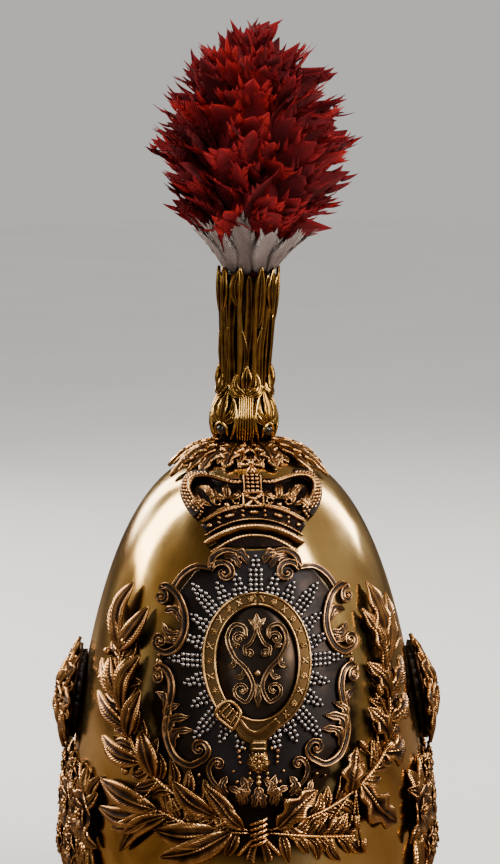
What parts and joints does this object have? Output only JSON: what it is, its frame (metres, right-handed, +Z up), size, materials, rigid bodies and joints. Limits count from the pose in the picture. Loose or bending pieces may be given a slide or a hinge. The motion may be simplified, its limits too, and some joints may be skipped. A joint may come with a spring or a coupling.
{
  "type": "dragoon helmet",
  "caption": "Gilt brass cavalry helmet with two peaks, struck ornament on the front, side rosettes, and a feather plume in a tall socket.",
  "frame": {"origin": "centre of the surface that the two peaks rest on, under the middle of the helmet", "axes": "+Z up through the plume, -Y out of the front, +X to the wearer's left"},
  "size_m": [0.1986, 0.3202, 0.476],
  "materials": {
    "gilt_brass": "polished gilt brass, worn darker in places",
    "copper_bronze": "antique copper bronze with dark recesses",
    "dark_patina": "nearly black patina with copper highlights",
    "silver": "tarnished silver, beaded",
    "gold": "bright gold with dark grooves",
    "red_feather": "crimson feathers, matt",
    "white_feather": "dusty white feathers, matt"
  },
  "bodies": {
    "root": {"skull": "gilt_brass", "front_peak": "gilt_brass", "front_peak_binding": "gilt_brass", "rear_peak": "gilt_brass", "rear_peak_binding": "gilt_brass", "shield": "dark_patina", "star": "silver", "belt": "copper_bronze", "medallion": "dark_patina", "crown": "copper_bronze", "laurel_spray": "copper_bronze", "oak_spray": "copper_bronze", "spray_tie": "copper_bronze", "garland_left": "copper_bronze", "garland_right": "copper_bronze", "boss_drum_left": "dark_patina", "boss_drum_right": "dark_patina", "boss_rosette_left": "copper_bronze", "boss_rosette_right": "copper_bronze", "canopy": "copper_bronze", "calyx": "gold", "plume_socket": "gold", "plume_white": "white_feather", "plume_red": "red_feather"}
  },
  "joints": []
}
